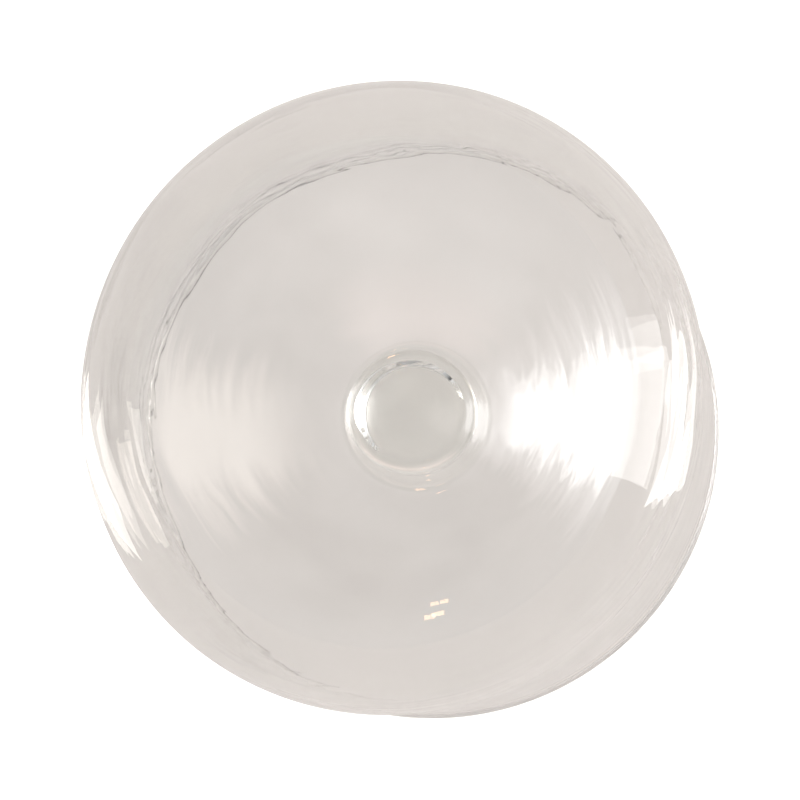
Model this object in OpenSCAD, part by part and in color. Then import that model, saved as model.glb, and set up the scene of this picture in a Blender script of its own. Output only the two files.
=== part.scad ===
// Mouth-blown glass garden cloche: a bell with a rolled rim and a solid knob on top.
// The bell stands on its rim. Z points up, and the origin is the middle of the rim on the ground.
// The five pieces are gathers of hot glass, fused to each other face to face.

/* [Rim] */
// Outside diameter of the rolled rim
rim_d = 300; // [240:5:340]
// Width of the rolled bead of the rim
lip_w = 6; // [5:0.5:8]
// Height of the flat ring on which the rim stands, below the middle of its lower curve
lip_sole = 2.6; // [2.0:0.1:2.8]

/* [Bell] */
// Radius of the bell wall above the flared rim, measured from the bell's own middle
wall_r = 142.5; // [110:0.5:150]
// Height over which the flare above the rim fades out
flare_h = 22; // [10:1:40]
// Height of the dome's crown above the ground
crown_h = 268; // [220:2:320]
// Squareness of the shoulder: 2 is an ellipse, higher is a straighter wall
shoulder = 4.8; // [3:0.1:7]
// Thickness of the blown wall
wall_t = 4.2; // [3.5:0.1:5]
// Thickness of the crown, where the glass collects under the knob
crown_t = 9; // [8:0.5:12]

/* [Hand-blown irregularity] */
// Sideways lean of the belly along X
lean_x = -12; // [-14:0.5:14]
// Sideways lean of the belly along Y
lean_y = 10.5; // [-14:0.5:14]
// Height at which the wall has reached the lean
lean_h = 125; // [90:5:140]
// Share by which the belly is out of round
oval = 0.013; // [0:0.001:0.02]
// Direction of the belly's long axis
oval_dir = 65; // [0:5:180]
// Shift of the inner surface along X, which makes one side of the wall thicker
bore_x = -1.2; // [-1.2:0.1:1.2]
// Shift of the inner surface along Y
bore_y = 0.8; // [-1.2:0.1:1.2]

/* [Knob] */
// Distance of the knob's axis from the rim's axis, along X
knob_x = 5.5; // [-8:0.5:8]
// Distance of the knob's axis from the rim's axis, along Y
knob_y = -4; // [-8:0.5:8]
// Diameter of the foot that fuses the knob to the crown
foot_d = 56; // [50:1:66]
// Height of the foot
foot_h = 6; // [4:0.5:8]
// Thickness of the foot at its outer edge
foot_edge = 1.5; // [1:0.5:2.5]
// Diameter of the waist between foot and knob
neck_d = 36; // [30:1:38]
// Straight stretch at the top of the waist
neck_straight = 4.5; // [3:0.5:8]
// Largest diameter of the knob
knob_d = 46; // [44:1:56]
// Height of the knob
knob_h = 22; // [20:0.5:30]
// Radius of the knob's upper edge
knob_round = 5; // [3:0.5:7]
// Depth of the shallow dish pressed into the knob's top
dish_depth = 1.2; // [0.6:0.1:2]

/* [Hidden] */

glass = [0.84, 0.86, 0.83, 0.4];
solid_glass = [0.78, 0.82, 0.79, 0.6];

round_fn = 128;              // smoothness of the turned pieces
segments = 56;               // flats round the blown wall
wall_rings = 6;              // rings up the straight wall
dome_rings = 12;             // rings over the shoulder and the dome
straight_share = 0.44;       // share of the height at which the straight wall gives way to the shoulder

bead_r = lip_w / 2;
lip_r = rim_d / 2 - bead_r;                       // middle of the bead
bead_rise = 2.3;                                  // straight stretch between the bead's two curves
seam_half = wall_t / 2;                           // half the width of the seam with the wall
lip_h = lip_sole + bead_rise + sqrt(bead_r * bead_r - seam_half * seam_half);
flare = lip_r + seam_half - wall_r;               // how much wider the wall is where it meets the rim
wall_top = lip_h + straight_share * (crown_h - lip_h);

foot_r = foot_d / 2;
neck_r = neck_d / 2;
knob_r = knob_d / 2;
dish_r = knob_r - knob_round;
sweep_r = foot_r - neck_r;                        // one hollow curve runs up the foot and the waist
neck_h = foot_edge + sweep_r - foot_h + neck_straight;
seat_h = crown_h * pow(1 - pow(foot_r / wall_r, 2), 1 / shoulder);  // flat seat of the foot
foot_top = seat_h + foot_h;
neck_top = foot_top + neck_h;

// A smooth step from 0 to 1
function ease(x) = (1 - cos(180 * min(1, max(0, x)))) / 2;

// How far a dome of height top has closed in at a height, from 1 at the rim to 0 at the top
function dome_share(z, top) = sqrt(max(0, 1 - pow(z / top, shoulder)));

// Openness of the bell between the rim, 1, and the knob's seat, 0
function openness(z) = max(0, (dome_share(z, crown_h) * wall_r - foot_r) / (wall_r - foot_r));

// Share of the lean that is reached at a height: none at the rim and at the seat, all at the belly
function lean_share(z) = ease((z - lip_h) / (lean_h - lip_h)) * openness(z);

// Middle of the bell at a height: it leans at the belly and ends at the knob's axis
function bell_middle(z) =
    let (share = lean_share(z), over = 1 - openness(z))
    [lean_x * share + knob_x * over, lean_y * share + knob_y * over];

// Radius of the wall before the dome closes in
function wall_radius(z) = wall_r + flare * exp(-(z - lip_h) / flare_h);

// Height of a dome at a given share, the reverse of dome_share
function dome_height(share, top) = top * pow(1 - share * share, 1 / shoulder);

// Heights of the rings of a surface that closes at height top, down to the radius last_r
function ring_heights(top, last_r) =
    let (start = acos(dome_share(wall_top, top)), end = acos(last_r / wall_r))
    concat(
        [for (i = [0 : wall_rings - 1]) lip_h + (wall_top - lip_h) * i / wall_rings],
        [for (i = [0 : dome_rings]) dome_height(cos(start + (end - start) * i / dome_rings), top)]);

// One ring of points round the bell. inset is the wall's thickness on the inner surface
function ring(z, top, inset, bore) =
    let (share = lean_share(z),
         middle = bell_middle(z) + bore * share,
         r = (wall_radius(z) - inset) * dome_share(z, top))
    [for (i = [0 : segments - 1])
        let (a = 360 * i / segments, out = r * (1 + oval * share * cos(2 * (a - oval_dir))))
        [middle[0] + out * cos(a), middle[1] + out * sin(a), z]];

// The foot's seat is a true circle on the knob's axis
function seat_ring() =
    [for (i = [0 : segments - 1])
        let (a = 360 * i / segments)
        [knob_x + foot_r * cos(a), knob_y + foot_r * sin(a), seat_h]];

function join(lists) = [for (list = lists) for (item = list) item];

// Faces between ring k and ring k + 1, seen from outside as clockwise
function band_faces(k) =
    [for (i = [0 : segments - 1])
        let (j = (i + 1) % segments, low = k * segments, high = (k + 1) * segments)
        each [[low + i, high + i, high + j], [low + i, high + j, low + j]]];

module on_knob_axis(z) {
    translate([knob_x, knob_y, z]) rotate_extrude($fn = round_fn) children();
}

// Rolled bead round the mouth, with a flat sole below and a flat seam above
module rim_lip() {
    color(solid_glass)
        rotate_extrude($fn = round_fn)
            intersection() {
                union() {
                    translate([lip_r, lip_sole]) circle(r = bead_r);
                    translate([lip_r, lip_sole + bead_rise]) circle(r = bead_r);
                    translate([lip_r - bead_r, lip_sole]) square([lip_w, bead_rise]);
                }
                translate([lip_r - lip_w, 0]) square([2 * lip_w, lip_h]);
            }
}

// Blown bell: one closed skin that runs up the outside, over the flat seat and down the inside
module bell() {
    outer_z = ring_heights(crown_h, foot_r);
    inner_top = crown_h - crown_t;
    inner_z = ring_heights(inner_top, foot_r / 2);
    last_outer = len(outer_z) - 1;
    last_inner = len(inner_z) - 1;
    outer = [for (k = [0 : last_outer])
        k == last_outer ? seat_ring() : ring(outer_z[k], crown_h, 0, [0, 0])];
    inner = [for (k = [last_inner : -1 : 0]) ring(inner_z[k], inner_top, wall_t, [bore_x, bore_y])];
    outer_count = segments * len(outer);
    inner_start = outer_count + 2;
    seat_middle = outer_count;
    bore_middle = outer_count + 1;
    points = concat(
        join(outer), [[knob_x, knob_y, seat_h], concat(bell_middle(inner_top), [inner_top])], join(inner));
    up_outside = [for (k = [0 : last_outer - 1]) each band_faces(k)];
    down_inside = [for (k = [0 : last_inner - 1]) each [for (f = band_faces(k)) [for (v = f) v + inner_start]]];
    top_ring = last_outer * segments;
    seat = [for (i = [0 : segments - 1]) [top_ring + i, seat_middle, top_ring + (i + 1) % segments]];
    crown_inside = [for (i = [0 : segments - 1])
        [bore_middle, inner_start + i, inner_start + (i + 1) % segments]];
    mouth_ring = inner_start + last_inner * segments;
    seam = [for (i = [0 : segments - 1])
        let (j = (i + 1) % segments)
        each [[mouth_ring + i, i, j], [mouth_ring + i, j, mouth_ring + j]]];
    color(glass)
        polyhedron(points = points, faces = concat(up_outside, seat, crown_inside, down_inside, seam));
}

// Profile of the foot and the waist together, from the crown up to the knob
module sweep_profile() {
    difference() {
        square([foot_r, foot_edge + sweep_r]);
        translate([foot_r, foot_edge + sweep_r]) circle(r = sweep_r);
    }
    translate([0, foot_edge + sweep_r]) square([neck_r, neck_straight]);
}

// Foot of the knob: a collar that spreads over the crown
module knob_foot() {
    color(solid_glass)
        on_knob_axis(seat_h)
            intersection() {
                sweep_profile();
                square([foot_r, foot_h]);
            }
}

// Waist between the foot and the knob
module knob_neck() {
    color(solid_glass)
        on_knob_axis(seat_h)
            intersection() {
                sweep_profile();
                translate([0, foot_h]) square([foot_r, neck_h]);
            }
}

// Solid knob: a rounded underside, a tighter upper edge and a shallow dish in the top
module knob() {
    under_round = knob_r - neck_r;
    dish_curve = (dish_r * dish_r + dish_depth * dish_depth) / (2 * dish_depth);
    color(solid_glass)
        on_knob_axis(neck_top)
            difference() {
                union() {
                    translate([neck_r, under_round]) circle(r = under_round);
                    translate([dish_r, knob_h - knob_round]) circle(r = knob_round);
                    translate([0, under_round]) square([knob_r, knob_h - knob_round - under_round]);
                    square([neck_r, knob_h]);
                    translate([0, knob_h - knob_round]) square([dish_r, knob_round]);
                }
                translate([0, knob_h - dish_depth + dish_curve]) circle(r = dish_curve);
            }
}

rim_lip();
bell();
knob_foot();
knob_neck();
knob();
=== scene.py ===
# %% [markdown]
# # A mouth-blown garden cloche
# A cloche is a glass bell that stands over a young plant. This one is blown by hand: a bubble of
# clear glass with a rolled rim, and a solid knob that was stuck on hot. We model each gather of
# glass as its own closed solid, because glass only bends and mirrors light as it should when every
# surface of it is really there.

# %% Load the frame and measure it
import math

import bmesh
import bpy
import numpy as np
from mathutils import Matrix, Vector, noise


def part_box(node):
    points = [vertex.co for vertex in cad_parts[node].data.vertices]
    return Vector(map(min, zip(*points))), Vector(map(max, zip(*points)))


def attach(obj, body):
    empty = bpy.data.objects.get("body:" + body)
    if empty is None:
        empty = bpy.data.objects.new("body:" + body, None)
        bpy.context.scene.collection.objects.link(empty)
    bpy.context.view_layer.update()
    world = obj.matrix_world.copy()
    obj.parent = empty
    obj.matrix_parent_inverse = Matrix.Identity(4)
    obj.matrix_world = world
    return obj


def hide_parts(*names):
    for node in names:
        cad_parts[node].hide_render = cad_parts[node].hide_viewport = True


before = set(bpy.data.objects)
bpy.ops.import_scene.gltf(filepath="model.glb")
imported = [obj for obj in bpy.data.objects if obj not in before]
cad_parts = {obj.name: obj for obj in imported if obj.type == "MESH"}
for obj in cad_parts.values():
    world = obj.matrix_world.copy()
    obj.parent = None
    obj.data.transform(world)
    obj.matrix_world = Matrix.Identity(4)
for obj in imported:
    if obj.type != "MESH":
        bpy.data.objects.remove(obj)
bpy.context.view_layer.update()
MM = 0.001
print("nodes:", sorted(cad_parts))

# %% [markdown]
# ## Where everything is
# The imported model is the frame: the rim stands on the ground at height 0, and the knob sits at the
# top. We read the sizes of the rim, the foot, the waist and the knob from their boxes, so that each
# glass piece lands in its place.


# %% Sizes from the frame
def middle_and_radius(node):
    """The middle of a round node, half its width, and its lowest and highest points."""
    low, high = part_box(node)
    centre = (low + high) / 2
    return centre, (high.x - low.x) / 2, low.z, high.z


_, rim_r, _, lip_top = middle_and_radius("rim_lip")
foot_middle, foot_r, seat_h, foot_top = middle_and_radius("knob_foot")
_, _, _, neck_top = middle_and_radius("knob_neck")
_, knob_r, _, knob_top = middle_and_radius("knob")
knob_axis = Vector((foot_middle.x, foot_middle.y))
print(f"rim radius {rim_r:.4f}, seat at {seat_h:.4f}, knob radius {knob_r:.4f}, top at {knob_top:.4f}")

# %% [markdown]
# ## The camera
# The bell is looked at from nearly straight above, a little off its axis, so that the rim shows
# past the belly on one side only. The camera comes before the pieces. It looks at a point on the
# ground near the middle of the rim.

# %% Camera
VIEW_HEIGHT = 0.9
VIEW_TILT = math.radians(3.0)
VIEW_TURN = math.radians(-40.5)
VIEW_AIM = Vector((-15.8 * MM, 15.7 * MM, 0))
VIEW_LENS = 77.2

view_from = Vector((math.cos(VIEW_TURN), math.sin(VIEW_TURN), 0)) * VIEW_HEIGHT * math.tan(VIEW_TILT)
view_from.z = VIEW_HEIGHT
looking = (VIEW_AIM - view_from).normalized()
rightwards = looking.cross(Vector((0, 1, 0))).normalized()
upwards = rightwards.cross(looking)

camera_data = bpy.data.cameras.new("camera")
camera_data.lens = VIEW_LENS
camera_data.clip_start = 0.01
camera = bpy.data.objects.new("camera", camera_data)
bpy.context.scene.collection.objects.link(camera)
axes = Matrix((rightwards, upwards, -looking)).transposed()
camera.matrix_world = Matrix.Translation(view_from) @ axes.to_4x4()
bpy.context.scene.camera = camera
print("camera at", tuple(round(v, 3) for v in view_from))

# %% [markdown]
# ## The blower's bubble as numbers
# A bell like this is nearly a turned shape: a straight wall that flares at the rim, and a shoulder
# that closes into a dome. One formula gives its radius at each height. The bubble sagged a little
# before it set, so the belly leans to one side and is slightly out of round, and the inner surface
# is shifted, which makes the wall thicker on one side.

# %% The bell's curve
WALL_R = 142.5 * MM
WALL_T = 4.2 * MM
CROWN_H = 268 * MM
CROWN_T = 9 * MM
SHOULDER = 4.8
FLARE_H = 22 * MM
LEAN = Vector((-12 * MM, 10.5 * MM))
LEAN_H = 125 * MM
BORE_SHIFT = Vector((-1.2 * MM, 0.8 * MM))
OVAL = 0.013
OVAL_DIR = math.radians(65)
BEAD_R = 3 * MM
LIP_R = rim_r - BEAD_R
FLARE = LIP_R + WALL_T / 2 - WALL_R


def ease(x):
    """A smooth step from 0 to 1."""
    return (1 - math.cos(math.pi * min(1, max(0, x)))) / 2


def dome_share(z, top):
    """How far the dome has closed in at a height: 1 at the rim, 0 at the top."""
    return math.sqrt(max(0.0, 1 - (z / top) ** SHOULDER))


def wall_radius(z):
    """Radius of the wall before the dome closes in."""
    return WALL_R + FLARE * math.exp(-(z - lip_top) / FLARE_H)


def openness(z):
    """How open the bell is at a height: 1 at the rim, 0 at the knob's seat."""
    return max(0.0, (dome_share(z, CROWN_H) * WALL_R - foot_r) / (WALL_R - foot_r))


def lean_share(z):
    """How much of the belly's lean is reached at a height."""
    return ease((z - lip_top) / (LEAN_H - lip_top)) * openness(z)


def bell_middle(z):
    """The bell's own middle at a height, on plan."""
    return LEAN * lean_share(z) + knob_axis * (1 - openness(z))


def even_steps(points, step):
    """Walks along a polyline and gives points about one step apart, both ends kept."""
    lengths = [math.dist(a, b) for a, b in zip(points, points[1:])]
    total = sum(lengths)
    count = max(2, round(total / step))
    out, k, walked = [points[0]], 0, 0.0
    for i in range(1, count):
        goal = total * i / count
        while walked + lengths[k] < goal:
            walked += lengths[k]
            k += 1
        t = (goal - walked) / lengths[k]
        out.append(tuple(a + (b - a) * t for a, b in zip(points[k], points[k + 1])))
    return out + [points[-1]]


CURVE_POINTS = 400


def bell_curve(top, inset, last_r, step):
    """Radius and height of a bell surface from the mouth up to radius last_r."""
    curve = []
    end = math.acos(min(1.0, last_r / (WALL_R - inset)))
    for i in range(CURVE_POINTS + 1):
        share = math.cos(end * i / CURVE_POINTS)
        z = top * (1 - share * share) ** (1 / SHOULDER)
        if z > lip_top:
            curve.append(((wall_radius(z) - inset) * dome_share(z, top), z))
    mouth = ((wall_radius(lip_top) - inset) * dome_share(lip_top, top), lip_top)
    return even_steps([mouth] + curve, step)


mouth_r = wall_radius(lip_top)
half_way_r = WALL_R * dome_share(CROWN_H / 2, CROWN_H)
print(f"bell: radius {mouth_r:.4f} at the mouth, {half_way_r:.4f} half way up")

# %% [markdown]
# ## Turning an outline
# Every piece starts the same way, as glass does on a turning iron: an outline is drawn point by
# point from one vertex, and Blender's spin turns it round an upright axis. Points that meet on the
# axis are merged into a closed pole.


# %% The turning helper
MERGE = 0.005 * MM


def start_piece(name):
    """A mesh object of one vertex at the origin, in edit mode, with nothing else selected."""
    bpy.ops.object.select_all(action="DESELECT")
    bpy.ops.mesh.primitive_plane_add(size=MM, location=(0, 0, 0))
    piece = bpy.context.object
    piece.name = piece.data.name = name
    bpy.ops.object.mode_set(mode="EDIT")
    bpy.ops.mesh.select_mode(type="VERT")
    bpy.ops.mesh.select_all(action="SELECT")
    bpy.ops.mesh.merge(type="CENTER")
    return piece


def turned(name, outline, steps, axis=(0, 0)):
    """Spins an outline of (radius, height) points round the upright line through axis."""
    piece = start_piece(name)
    first = (axis[0] + outline[0][0], axis[1], outline[0][1])
    bpy.ops.transform.translate(value=first)
    here = outline[0]
    for radius, height in outline[1:]:
        step = (radius - here[0], 0, height - here[1])
        bpy.ops.mesh.extrude_vertices_move(TRANSFORM_OT_translate={"value": step})
        here = (radius, height)
    bpy.ops.mesh.select_all(action="SELECT")
    bpy.ops.mesh.spin(steps=steps, angle=2 * math.pi, center=(axis[0], axis[1], 0), axis=(0, 0, 1))
    bpy.ops.mesh.select_all(action="SELECT")
    bpy.ops.mesh.remove_doubles(threshold=MERGE)
    bpy.ops.mesh.normals_make_consistent(inside=False)
    bpy.ops.object.mode_set(mode="OBJECT")
    return piece


def points_of(piece):
    """All points of a piece as rows of x, y and z."""
    co = np.empty(len(piece.data.vertices) * 3)
    piece.data.vertices.foreach_get("co", co)
    return co.reshape(-1, 3)


def put_points(piece, co):
    """Writes rows of points back to a piece."""
    piece.data.vertices.foreach_set("co", co.ravel())
    piece.data.update()


CUBIC_CM = 1e-6


def volume_of(piece):
    """Signed volume in cubic centimetres, above zero when faces point outwards, and open edges."""
    shape = bmesh.new()
    shape.from_mesh(piece.data)
    volume = shape.calc_volume(signed=True)
    open_edges = sum(1 for e in shape.edges if len(e.link_faces) != 2)
    shape.free()
    return round(volume / CUBIC_CM, 1), open_edges


# %% [markdown]
# ## The blown bell
# The outer and the inner skin are turned apart, so that each can have its own ripples, as real
# blown glass has. The inner outline starts at the outer edge of the mouth. Then both are bent to
# the lean of the belly, joined, and merged where they meet, into one closed solid of glass.

# %% Outer and inner skin
RING_STEP = 2.0 * MM
ROUND_STEPS = 180

outer_curve = bell_curve(CROWN_H, 0, foot_r, RING_STEP)
outer = turned("bell_outer", outer_curve, ROUND_STEPS)
inner_top = CROWN_H - CROWN_T
inner_curve = bell_curve(inner_top, WALL_T, 0, RING_STEP)
inner = turned("bell_inner", outer_curve[:1] + inner_curve, ROUND_STEPS)
print("outer skin", len(outer.data.vertices), "points, inner skin", len(inner.data.vertices))


# %% Bend the skins to the lean
def bend(piece, top, shift):
    """Moves each ring of a skin to the bell's own middle, and pulls it out of round at the belly."""
    co = points_of(piece)
    for p in co:
        share = lean_share(p[2])
        over = bell_middle(p[2]) + shift * share
        around = math.atan2(p[1], p[0])
        pull = 1 + OVAL * share * math.cos(2 * (around - OVAL_DIR))
        p[0] = p[0] * pull + over.x
        p[1] = p[1] * pull + over.y
    put_points(piece, co)


bend(outer, CROWN_H, Vector((0, 0)))
bend(inner, inner_top, BORE_SHIFT)
print("belly leans by", round(LEAN.length / MM, 1), "mm")

# %% [markdown]
# ## Ripples of the blown wall
# While the bubble turned and grew, the glass ran in soft waves. They follow the turning, so they
# are long round the bell and short up it. They could be a bump in the finish alone, but real
# ripples also bend what is seen through them, so we move the points of each skin along their
# normals by smooth noise that is stretched the same way. They are strongest on the shoulder, on the
# two sides along X. Each point keeps its distance up the wall and its place round it, so that the
# finish can use them later for the finest rings.

# %% Ripples of the two skins
BROAD_WAVE = 0.30 * MM
BROAD_LENGTH = 60 * MM
RING_WAVE = 0.60 * MM
RING_LENGTH = 9 * MM
RINGS_ROUND = 2.8
SWIRL = 6 * MM
SWELL_SHAPE = Vector((0.2, 0.7, 0.7))
SWELL_LEAST = 0.15
SWELL_MIDDLE = 0.55
SWELL_RANGE = 1.5
LEFT_TURN = 0.15
MOUTH_FADE = 18 * MM
CROWN_FADE = 14 * MM
SHOULDER_LOW = 0.12
SHOULDER_RISE = 0.06
SHOULDER_TOP = 0.262
SHOULDER_FALL = 0.03
AROUND_R = 20 * MM

run_curve = bell_curve(CROWN_H, 0, 0, RING_STEP)
run_heights = [p[1] for p in run_curve]
run_lengths = np.concatenate(
    [[0], np.cumsum([math.dist(a, b) for a, b in zip(run_curve, run_curve[1:])])]
)


def run_up(height):
    """Distance along the wall from the mouth to a height, in metres."""
    return float(np.interp(height, run_heights, run_lengths))


def ring_strength(height, around):
    """How strong the rings are: most on the shoulder, and on the two sides along X."""
    rise = ease((height - SHOULDER_LOW) / SHOULDER_RISE)
    fall = ease((SHOULDER_TOP - height) / SHOULDER_FALL)
    right = max(0, math.cos(around)) ** 4
    left = max(0, -math.cos(around - LEFT_TURN)) ** 6
    return (0.1 + 0.9 * rise * fall) * (0.07 + 0.93 * right + 0.55 * left)


def ripple(piece, top, layer, keep_crown):
    """Pushes the skin's points in and out. The two skins share most waves; layer shifts the rest."""
    co = points_of(piece)
    normals = np.empty(len(co) * 3)
    piece.data.vertices.foreach_get("normal", normals)
    normals = normals.reshape(-1, 3)
    along = []
    for p, n in zip(co, normals):
        middle = bell_middle(p[2])
        around = math.atan2(p[1] - middle.y, p[0] - middle.x)
        ahead, aside = math.cos(around), math.sin(around)
        up = run_up(p[2] * CROWN_H / top) + SWIRL * aside
        broad = noise.noise(Vector((p[0], p[1], p[2] + layer)) / BROAD_LENGTH)
        place = Vector((up / RING_LENGTH, RINGS_ROUND * ahead, RINGS_ROUND * aside + layer))
        swell = max(SWELL_LEAST, SWELL_MIDDLE + SWELL_RANGE * noise.noise(place * SWELL_SHAPE))
        rings = noise.noise(place) * swell * ring_strength(p[2], around)
        fade = ease((p[2] - lip_top) / MOUTH_FADE)
        if keep_crown:
            from_axis = math.hypot(p[0] - knob_axis.x, p[1] - knob_axis.y)
            fade *= ease((from_axis - foot_r) / CROWN_FADE)
        p += n * fade * (BROAD_WAVE * broad + RING_WAVE * rings)
        along.append((up, AROUND_R * ahead, AROUND_R * aside))
    put_points(piece, co)
    kept = piece.data.attributes.new("along", "FLOAT_VECTOR", "POINT")
    kept.data.foreach_set("vector", np.array(along).ravel())


INNER_LAYER = 0.15
ripple(outer, CROWN_H, 0.0, True)
ripple(inner, inner_top, INNER_LAYER, False)
print("ripples up to", round((BROAD_WAVE + RING_WAVE) / MM, 2), "mm")

# %% [markdown]
# ## Fused joints
# Where one gather of glass sits on the next there is no surface at all in the real thing, so light
# must pass straight on. Each piece is still a closed solid, and the faces of its joints get a
# second material that lets light through unbent. They are found by their height.


# %% Joint helpers
LEVEL = 0.002
SAME_HEIGHT = 0.02 * MM


def close_opening(piece, height):
    """Closes the round opening at a height with a flat fan of triangles."""
    shape = bmesh.from_edit_mesh(piece.data)
    bpy.ops.mesh.select_mode(type="EDGE")
    bpy.ops.mesh.select_all(action="DESELECT")
    for edge in shape.edges:
        level = all(abs(v.co.z - height) < 0.5 * MM for v in edge.verts)
        edge.select = level and len(edge.link_faces) == 1
    shape.select_flush_mode()
    bmesh.update_edit_mesh(piece.data)
    bpy.ops.mesh.edge_face_add()
    bpy.ops.mesh.poke()


def mark_joints(piece, heights, reach=None):
    """Gives the level faces at these heights the second material slot."""
    count = 0
    for face in piece.data.polygons:
        level = abs(abs(face.normal.z) - 1) < LEVEL
        near = any(abs(face.center.z - h) < SAME_HEIGHT for h in heights)
        spread = math.hypot(face.center.x - knob_axis.x, face.center.y - knob_axis.y)
        if level and near and (reach is None or spread < reach):
            face.material_index = 1
            count += 1
    return count


# %% Join the skins into the bell
bpy.ops.object.select_all(action="DESELECT")
outer.select_set(True)
inner.select_set(True)
bpy.context.view_layer.objects.active = outer
bpy.ops.object.join()
bell_glass = outer
bell_glass.name = bell_glass.data.name = "bell_glass"
bpy.ops.object.mode_set(mode="EDIT")
close_opening(bell_glass, seat_h)
bpy.ops.mesh.select_all(action="SELECT")
bpy.ops.mesh.remove_doubles(threshold=MERGE)
bpy.ops.mesh.normals_make_consistent(inside=False)
bpy.ops.object.mode_set(mode="OBJECT")
print("bell: volume and open edges", volume_of(bell_glass))

# %% [markdown]
# ## The rolled rim
# The mouth of the bell is rolled into a bead. Its outline is a drop: as wide as the wall at the
# top, fuller below, and flat where it stands on the ground.

# %% Rim bead
BEAD_FULL_H = 3.4 * MM
SOLE_HALF = 1.5 * MM


def arc(centre, radius, start, end, count):
    """Points on an arc, angles in degrees, both ends included."""
    angles = [math.radians(start + (end - start) * i / count) for i in range(count + 1)]
    return [(centre[0] + radius * math.cos(a), centre[1] + radius * math.sin(a)) for a in angles]


def bead_half(height):
    """Half the bead's width at a height."""
    if height > BEAD_FULL_H:
        return WALL_T / 2 + (BEAD_R - WALL_T / 2) * ease((lip_top - height) / (lip_top - BEAD_FULL_H))
    drop = 1 - height / BEAD_FULL_H
    return SOLE_HALF + (BEAD_R - SOLE_HALF) * math.sqrt(max(0, 1 - drop * drop))


BEAD_STEPS = 48
bead_shares = [(1 - math.cos(math.pi * i / BEAD_STEPS)) / 2 for i in range(BEAD_STEPS + 1)]
bead_heights = [lip_top * share for share in bead_shares]
bead_side = [(bead_half(h), h) for h in bead_heights]
bead = [(LIP_R + w, h) for w, h in bead_side] + [(LIP_R - w, h) for w, h in reversed(bead_side)]
rim_glass = turned("rim_glass", bead + bead[:1], ROUND_STEPS)
print("rim: volume and open edges", volume_of(rim_glass))

# %% [markdown]
# ## Foot, waist and knob
# The knob is a solid gather. Its foot spreads over the crown and melts into it at the edge, a waist
# carries the knob, and the knob itself is a thick round with a tighter upper edge and a shallow
# dish pressed into its top. One hollow curve runs up the foot and the waist, so we cut one arc in
# two at the joint between them.

# %% Outlines of the knob's three gathers
NECK_R = 18 * MM
FOOT_EDGE = 1.5 * MM
KNOB_ROUND = 5 * MM
DISH_DEPTH = 1.2 * MM
FILLET = 1.5 * MM
MELT_W = 6 * MM
MELT_EDGE = 0.1 * MM
TURN_STEPS = 120
SWEEP_STEPS = 36
FILLET_STEPS = 6
UNDER_STEPS = 28
EDGE_STEPS = 26
EDGE_END = 82
DISH_STEPS = 12
DISH_SHARE = 0.97

sweep_r = foot_r - NECK_R
sweep = arc((foot_r, seat_h + FOOT_EDGE + sweep_r), sweep_r, 270, 180, SWEEP_STEPS)
foot_curve = [p for p in sweep if p[1] < foot_top]
waist_curve = [p for p in sweep if p[1] > foot_top]
joint_r = foot_r - math.sqrt(sweep_r**2 - (foot_top - seat_h - FOOT_EDGE - sweep_r) ** 2)
top_joint_r = NECK_R + FILLET


def thin_out(point):
    """Melts the foot's outer edge down onto the crown."""
    radius, height = point
    share = ease((foot_r - radius) / MELT_W)
    return radius, seat_h + MELT_EDGE + (height - seat_h - MELT_EDGE) * share


foot_slope = [thin_out(p) for p in foot_curve]
foot_outline = [(0, seat_h), (foot_r, seat_h)] + foot_slope + [(joint_r, foot_top), (0, foot_top)]
waist_flare = arc((NECK_R + FILLET, neck_top - FILLET), FILLET, 180, 90, FILLET_STEPS)
waist_outline = [(0, foot_top), (joint_r, foot_top)] + waist_curve + waist_flare + [(0, neck_top)]

under_r = knob_r - top_joint_r
dish_r = knob_r - KNOB_ROUND
dish_curve = (dish_r**2 + DISH_DEPTH**2) / (2 * DISH_DEPTH)
dish_start = -90 + DISH_SHARE * math.degrees(math.asin(dish_r / dish_curve))
knob_outline = (
    [(0, neck_top)]
    + arc((top_joint_r, neck_top + under_r), under_r, -90, 0, UNDER_STEPS)
    + arc((dish_r, knob_top - KNOB_ROUND), KNOB_ROUND, 0, EDGE_END, EDGE_STEPS)
    + arc((0, knob_top - DISH_DEPTH + dish_curve), dish_curve, dish_start, -90, DISH_STEPS)
)
print("foot joint", round(joint_r / MM, 1), "mm, knob joint", round(top_joint_r / MM, 1), "mm")


# %% Turn them
foot_glass = turned("knob_foot_glass", foot_outline, TURN_STEPS, knob_axis)
waist_glass = turned("knob_waist_glass", waist_outline, TURN_STEPS, knob_axis)
knob_glass = turned("knob_glass", knob_outline, TURN_STEPS, knob_axis)
for piece in (foot_glass, waist_glass, knob_glass):
    print(piece.name, "volume and open edges", volume_of(piece))

# %% [markdown]
# ## The hand in the knob
# A knob shaped by hand is never quite round. It is pulled a little along one line, and slow waves
# run through it. The foot and the waist get the same waves, so the three gathers still meet.

# %% Soft waves in the solid gathers
KNOB_WAVE = 0.45 * MM
KNOB_WAVE_LENGTH = 16 * MM
KNOB_PULL = 0.03
STILL_R = 8 * MM


def soften(piece):
    """Moves a solid gather's points sideways by slow noise and a slight pull, least at the seat."""
    co = points_of(piece)
    for p in co:
        x, y = p[0] - knob_axis.x, p[1] - knob_axis.y
        rise = ease((p[2] - seat_h) / (knob_top - seat_h))
        around = math.atan2(y, x)
        pull = 1 + rise * (KNOB_PULL * math.cos(2 * around) - KNOB_PULL)
        wave = noise.noise(Vector((x, y, p[2])) / KNOB_WAVE_LENGTH) * KNOB_WAVE * rise
        reach = max(math.hypot(x, y), 1e-6)
        grow = pull + wave / reach * ease(reach / STILL_R)
        p[0] = knob_axis.x + x * grow
        p[1] = knob_axis.y + y * grow
    put_points(piece, co)


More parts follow.
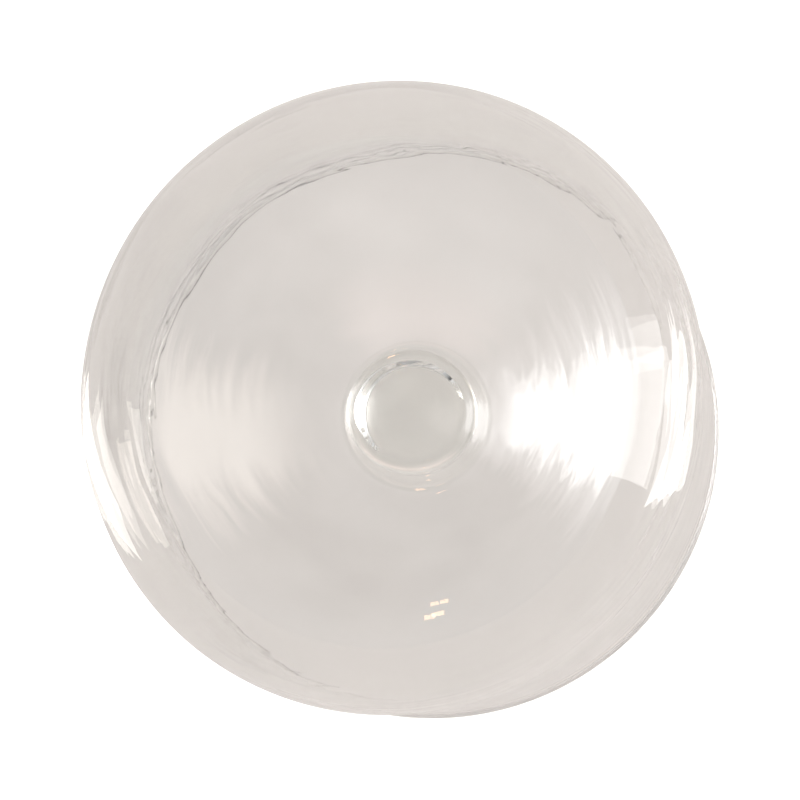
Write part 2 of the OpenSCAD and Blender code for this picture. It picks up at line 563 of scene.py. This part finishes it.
for piece in (foot_glass, waist_glass, knob_glass):
    soften(piece)
print("soft waves up to", round(KNOB_WAVE / MM, 2), "mm")

# %% [markdown]
# ## Marking the joints
# The flat faces where two gathers meet are given to the joint finish, found by their height and, on
# the crown, by how near they are to the knob's axis. The rest is shaded smooth, and only edges
# sharper than a set angle stay crisp, such as those of the flat ring on which the rim stands.

# %% Joint faces and smooth shading
CRISP = math.radians(40)
SEAT_SPARE = 1 * MM
print("seat on bell:", mark_joints(bell_glass, [seat_h], foot_r + SEAT_SPARE))
print("mouth on bell:", mark_joints(bell_glass, [lip_top]))
print("top of rim:", mark_joints(rim_glass, [lip_top]))
print("foot:", mark_joints(foot_glass, [seat_h, foot_top]))
print("waist:", mark_joints(waist_glass, [foot_top, neck_top], joint_r + SEAT_SPARE))
print("knob:", mark_joints(knob_glass, [neck_top]))

for piece in (bell_glass, rim_glass, foot_glass, waist_glass, knob_glass):
    bpy.ops.object.select_all(action="DESELECT")
    piece.select_set(True)
    bpy.context.view_layer.objects.active = piece
    bpy.ops.object.shade_smooth_by_angle(angle=CRISP)

# %% [markdown]
# ## Finishes
# Each finish is written as a formula of sockets. The small class below lets us add and multiply
# sockets as if they were numbers, and makes any other node in one call.


# %% Sockets as values
class Sock:
    """A node output that can stand in a formula."""

    def __init__(self, tree, socket):
        self.tree = tree
        self.socket = socket

    def node(self, kind, settings=None, inputs=None, output=0):
        """Makes a node of any kind in the same tree, and gives the wanted output."""
        new = self.tree.nodes.new(kind)
        for key, value in (settings or {}).items():
            setattr(new, key, value)
        for key, value in (inputs or {}).items():
            if isinstance(value, Sock):
                self.tree.links.new(value.socket, new.inputs[key])
            else:
                new.inputs[key].default_value = value
        return Sock(self.tree, new.outputs[output])

    def math(self, operation, a, b=0.0):
        return self.node("ShaderNodeMath", {"operation": operation}, {0: a, 1: b})

    def __add__(self, other):
        return self.math("ADD", self, other)

    def __radd__(self, other):
        return self.math("ADD", other, self)

    def __sub__(self, other):
        return self.math("SUBTRACT", self, other)

    def __rsub__(self, other):
        return self.math("SUBTRACT", other, self)

    def __mul__(self, other):
        return self.math("MULTIPLY", self, other)

    def __rmul__(self, other):
        return self.math("MULTIPLY", other, self)

    def __truediv__(self, other):
        return self.math("DIVIDE", self, other)

    def mix(self, low, high):
        """A colour between low and high, by this value."""
        sockets = {"Factor": self, 6: low, 7: high}
        return self.node("ShaderNodeMix", {"data_type": "RGBA"}, sockets, 2)

    def noise(self, scale, detail=2.0, rough=0.5):
        """Smooth noise over this vector, from about 0.3 to 0.7."""
        sockets = {"Vector": self, "Scale": scale, "Detail": detail, "Roughness": rough}
        return self.node("ShaderNodeTexNoise", {}, sockets)

    def stretched(self, scale):
        """This vector with each part multiplied."""
        return self.node("ShaderNodeVectorMath", {"operation": "MULTIPLY"}, {0: self, 1: scale})

    def parts(self):
        """The three numbers of this vector."""
        split = self.node("ShaderNodeSeparateXYZ", {}, {0: self}).socket.node
        return [Sock(self.tree, out) for out in split.outputs]

    def ramp(self, start, end):
        """A smooth step of this value, from 0 at start to 1 at end."""
        sockets = {"Value": self, "From Min": start, "From Max": end}
        return self.node("ShaderNodeMapRange", {"interpolation_type": "SMOOTHSTEP"}, sockets)


def new_finish(name):
    """An empty material, and a first socket to build on: the object's own coordinates."""
    finish = bpy.data.materials.new(name)
    finish.use_nodes = True
    tree = finish.node_tree
    tree.nodes.clear()
    coords = tree.nodes.new("ShaderNodeTexCoord")
    return finish, Sock(tree, coords.outputs["Object"])


def finish_with(shader):
    """Connects a shader to the output of its material."""
    output = shader.tree.nodes.new("ShaderNodeOutputMaterial")
    shader.tree.links.new(shader.socket, output.inputs["Surface"])


# %% [markdown]
# ## Clear glass
# Light that is only passing through to light the floor goes straight on with a small loss. All
# other light is bent and mirrored by the real surfaces. A faint grey green is in the glass, and
# hand-blown glass has fine waves in its skin, too small to model, so they are a bump. The blown
# bell also has the finest of its rings there.


# %% Glass
GLASS_IOR = 1.5
RING_SCALE = 220.0
CLOUD_SCALE = 9.0
SHADE = (0.97, 0.97, 0.97, 1)


def make_glass(name, tint, wave_height, wave_scale, ring_height=0.0):
    """Clear glass of a tint, with fine waves, and finer rings where the piece has them."""
    finish, spot = new_finish(name)
    waves = spot.noise(wave_scale, 2.0, 0.45) * wave_height
    if ring_height:
        along = spot.node("ShaderNodeAttribute", {"attribute_name": "along"}, {}, "Vector")
        waves = waves + along.noise(RING_SCALE, 1.5, 0.5) * ring_height
    bump = spot.node("ShaderNodeBump", {}, {"Strength": 1.0, "Distance": MM, "Height": waves})
    cloud = spot.noise(CLOUD_SCALE)
    denser = tuple(0.97 * t for t in tint)
    colour = cloud.mix((*tint, 1), (*denser, 1))
    glass = spot.node(
        "ShaderNodeBsdfPrincipled",
        {},
        {
            "Base Color": colour,
            "Roughness": cloud * 0.02,
            "IOR": GLASS_IOR,
            "Transmission Weight": 1.0,
            "Normal": bump,
        },
    )
    clear = spot.node("ShaderNodeBsdfTransparent", {}, {"Color": SHADE})
    shadow = spot.node("ShaderNodeLightPath", {}, {}, "Is Shadow Ray")
    bounced = Sock(spot.tree, shadow.socket.node.outputs["Is Diffuse Ray"])
    lit = spot.node("ShaderNodeMixShader", {}, {0: shadow, 1: glass, 2: clear})
    finish_with(spot.node("ShaderNodeMixShader", {}, {0: bounced, 1: lit, 2: clear}))
    return finish


def make_joint(name):
    """Lets light through as if no surface were there."""
    finish, spot = new_finish(name)
    cloud = spot.noise(CLOUD_SCALE)
    sockets = {"Base Color": cloud.mix((1, 1, 1, 1), (0.98, 0.98, 0.98, 1)), "Alpha": 0.0}
    finish_with(spot.node("ShaderNodeBsdfPrincipled", {}, sockets))
    return finish


BELL_TINT = (0.985, 0.985, 0.98)
SOLID_TINT = (0.995, 0.995, 0.985)

bell_finish = make_glass("blown_glass", BELL_TINT, 0.03, 42.0, 0.016)
solid_finish = make_glass("solid_glass", SOLID_TINT, 0.02, 60.0)
joint_finish = make_joint("fused_joint")

for piece, finish in (
    (bell_glass, bell_finish),
    (rim_glass, solid_finish),
    (foot_glass, solid_finish),
    (waist_glass, solid_finish),
    (knob_glass, solid_finish),
):
    piece.data.materials.clear()
    piece.data.materials.append(finish)
    piece.data.materials.append(joint_finish)
print("finishes:", bell_finish.name, solid_finish.name, joint_finish.name)

# %% [markdown]
# ## Floor and light
# The floor is plain and pale: white where it is seen directly, and a warm pale grey where it is
# seen through the glass or mirrored in it, so that clear glass stands out from it. The world is
# soft and even, and plain grey where it is seen directly. A tall window stands to the right, a
# dimmer warm one to the left, and a faint rosy one high behind; their edges are uneven, as behind a
# curtain, and their mirror images draw the dome. Low panels and flat cards near the bell draw the
# stripes along its sides, and three small warm lamps the sparks in front.

# %% Floor
bpy.ops.mesh.primitive_plane_add(size=8.0, location=(0, 0, -0.2 * MM))
floor = bpy.context.object
floor.name = "floor"
floor_finish, floor_spot = new_finish("pale_floor")
direct = floor_spot.node("ShaderNodeLightPath", {}, {}, "Is Camera Ray")
floor_white = floor_spot.noise(3.0).mix((0.97, 0.97, 0.97, 1), (0.99, 0.99, 0.99, 1))
floor_grey = floor_spot.noise(7.0, 3.0).mix((0.478, 0.451, 0.432, 1), (0.412, 0.392, 0.378, 1))
floor_colour = direct.mix(floor_grey, floor_white)
floor_matt = {"Base Color": floor_colour, "Roughness": 0.9, "Specular IOR Level": 0.1}
finish_with(floor_spot.node("ShaderNodeBsdfPrincipled", {}, floor_matt))
floor.data.materials.append(floor_finish)
print("floor is", round(floor.dimensions.x, 1), "m wide")

# %% World
world = bpy.data.worlds.new("studio")
bpy.context.scene.world = world
world.use_nodes = True
sky_tree = world.node_tree
sky_tree.nodes.clear()
sky = Sock(sky_tree, sky_tree.nodes.new("ShaderNodeTexCoord").outputs["Generated"])
sky_x, sky_y, sky_z = sky.parts()
from_right = sky.math("ARCTAN2", sky_y, sky_x)
from_left = sky.math("ARCTAN2", sky_y * -1.0, sky_x * -1.0)
elevation = sky.math("ARCSINE", sky_z)
CURTAIN_WAVE = 0.65
curtain = (sky.stretched((1.8, 1.8, 22.0)).noise(1.0, 3.0, 0.6) - 0.5) * CURTAIN_WAVE


def pane(azimuth, middle, half_width, low, high, soft):
    """1 inside a window of the sky with soft, uneven edges. All but the azimuth are in degrees."""
    m, w, lo, hi, s = (math.radians(v) for v in (middle, half_width, low, high, soft))
    across = (sky.math("ABSOLUTE", azimuth - m) + curtain).ramp(w + s, w - s)
    return across * elevation.ramp(lo - s, lo + s) * elevation.ramp(hi + s, hi - s)


SKY_LOW, SKY_HIGH = 0.62, 0.52
SKY_LEAST = 0.05
BACKDROP = 0.8
sky_side = sky_x * 0.25 + sky_y * 0.5
sky_cloud = sky.noise(2.2, 3.0, 0.55) - 0.5
room = (sky_side + sky_cloud * 1.6) * elevation.ramp(0.0, 0.7)
plain_sky = elevation.ramp(0.0, 1.2) * (SKY_HIGH - SKY_LOW) + SKY_LOW + room
plain_sky = sky.math("MAXIMUM", plain_sky, SKY_LEAST)
window = pane(from_right, -3, 16, 4, 60, 4) * 4.6
window_halo = pane(from_right, -3, 25, -4, 78, 13) * 2.0
glow = pane(from_left, 8, 18, 8, 54, 12) * 2.2
blush = pane(from_right, 85, 40, 56, 72, 12) * 0.9
day = (1.0, 1.0, 1.0, 1)
cream = (1.0, 0.93, 0.84, 1)
rose = (1.0, 0.72, 0.66, 1)
strength = plain_sky + window + window_halo + glow + blush
colour = (blush / strength).mix((glow / strength).mix(day, cream), rose)
seen = sky.node("ShaderNodeLightPath", {}, {}, "Is Camera Ray")
colour = seen.mix(colour, day)
strength = (1 - seen) * strength + seen * BACKDROP
shine = sky.node("ShaderNodeBackground", {}, {"Color": colour, "Strength": strength})
sky_out = sky_tree.nodes.new("ShaderNodeOutputWorld")
sky_tree.links.new(shine.socket, sky_out.inputs["Surface"])
print("sky from", SKY_LOW, "to", SKY_HIGH)


# %% Lights
def soft_light(name, place, aim, size, radiance, colour):
    """An area light from a place towards an aim, bright by radiance rather than by power."""
    data = bpy.data.lights.new(name, "AREA")
    data.shape = "RECTANGLE"
    data.size, data.size_y = size
    data.energy = radiance * math.pi * size[0] * size[1]
    data.color = colour
    light = bpy.data.objects.new(name, data)
    bpy.context.scene.collection.objects.link(light)
    light.location = place
    light.rotation_euler = (Vector(place) - Vector(aim)).to_track_quat("Z", "Y").to_euler()
    light.visible_camera = False


def on_ring(azimuth, reach, height):
    """A place at an azimuth and a distance from the bell, both on plan, and a height."""
    a = math.radians(azimuth)
    return (reach * math.cos(a), reach * math.sin(a), height)


sun_data = bpy.data.lights.new("overhead", "SUN")
sun_data.energy = 1.1
sun_data.angle = math.radians(100)
overhead = bpy.data.objects.new("overhead", sun_data)
bpy.context.scene.collection.objects.link(overhead)
overhead.visible_glossy = False
overhead.visible_transmission = False

DAYLIGHT = (1.0, 1.0, 0.98)
WARM = (1.0, 0.97, 0.92)
LAMP = (1.0, 0.62, 0.34)
CARD_H = 0.004
CARD_AIM = 1.0
LAMP_POWER = 11.0
LAMP_AIM = (0, 0, 0.2)
soft_light("card_right", on_ring(-3, 0.40, CARD_H), (0.40, -0.02, CARD_AIM), (0.24, 0.24), 1.8, DAYLIGHT)
soft_light("panel_right", on_ring(-3, 0.62, 0.17), (0, 0, 0.17), (0.34, 0.34), 1.9, DAYLIGHT)
soft_light("panel_side", on_ring(14, 0.62, 0.13), (0, 0, 0.13), (0.12, 0.20), 1.3, DAYLIGHT)
soft_light("card_left", on_ring(192, 0.31, CARD_H), (-0.30, -0.06, CARD_AIM), (0.09, 0.20), 1.8, WARM)
soft_light("card_inner", on_ring(193, 0.47, CARD_H), (-0.46, -0.11, CARD_AIM), (0.10, 0.26), 1.1, WARM)
soft_light("card_far", on_ring(196, 0.84, CARD_H), (-0.81, -0.23, CARD_AIM), (0.16, 0.24), 0.75, WARM)
soft_light("panel_left", on_ring(189, 0.60, 0.19), (0, 0, 0.19), (0.22, 0.045), 2.0, (1.0, 0.96, 0.90))
soft_light("panel_low", on_ring(197, 0.58, 0.11), (0, 0, 0.11), (0.24, 0.04), 1.7, (1.0, 0.94, 0.86))
soft_light("lamp_low", on_ring(-81, 1.6, 0.60), LAMP_AIM, (0.09, 0.07), LAMP_POWER, LAMP)
soft_light("lamp_middle", on_ring(-79, 1.6, 0.78), LAMP_AIM, (0.07, 0.06), LAMP_POWER, LAMP)
soft_light("lamp_high", on_ring(-76, 0.7, 1.95), LAMP_AIM, (0.09, 0.07), LAMP_POWER, LAMP)
studio = bpy.context.scene
studio.view_settings.view_transform = "Standard"
studio.cycles.max_bounces = 24
studio.cycles.glossy_bounces = 16
studio.cycles.transmission_bounces = 24
studio.cycles.transparent_max_bounces = 48

# %% [markdown]
# ## Belonging to the frame
# Every glass piece rides on the root of the frame, hides the node of the frame that it replaces, and
# says which one that is.

# %% Ride and replace
for piece, node, slot in (
    (bell_glass, "bell", "blown_glass"),
    (rim_glass, "rim_lip", "solid_glass"),
    (foot_glass, "knob_foot", "solid_glass"),
    (waist_glass, "knob_neck", "solid_glass"),
    (knob_glass, "knob", "solid_glass"),
):
    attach(piece, "root")
    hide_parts(node)
    print(piece.name, "stands for", node)
